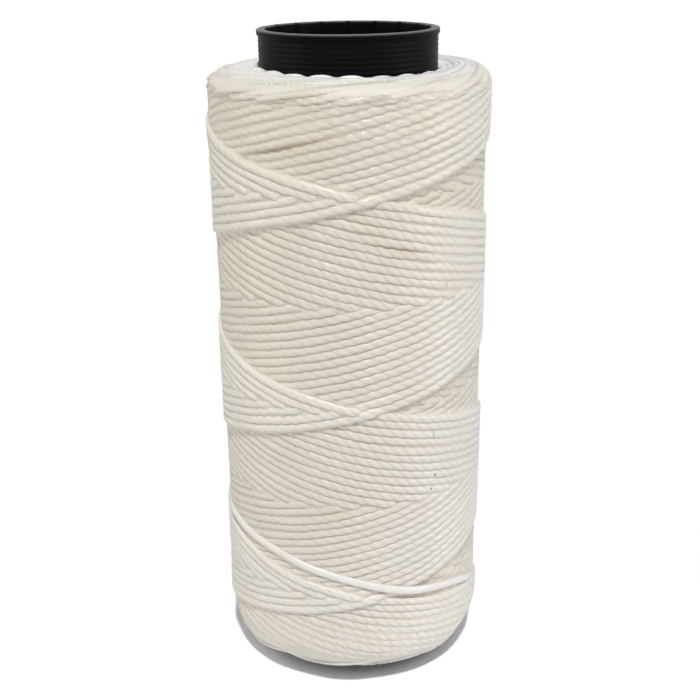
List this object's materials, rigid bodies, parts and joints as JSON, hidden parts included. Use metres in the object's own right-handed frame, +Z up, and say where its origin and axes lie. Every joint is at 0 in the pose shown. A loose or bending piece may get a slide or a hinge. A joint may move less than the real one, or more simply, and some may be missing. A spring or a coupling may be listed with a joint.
{
  "type": "waxed thread spool",
  "caption": "Cross-wound package of waxed leatherworking thread on a straight plastic winding tube with bare ends and an open bore.",
  "frame": {"origin": "centre of the tube's lower end face, on the surface that the spool stands on", "axes": "+Z up along the tube's axis, -Y towards the side that faces the viewer"},
  "size_m": [0.033, 0.033, 0.08],
  "materials": {
    "tube_plastic": "black moulded plastic, satin, with fine rings at both ends",
    "waxed_thread": "ivory plied thread with a thin wax coat"
  },
  "bodies": {
    "root": {"core_tube": "tube_plastic", "thread_package": "waxed_thread", "outer_winding": "waxed_thread"}
  },
  "joints": []
}
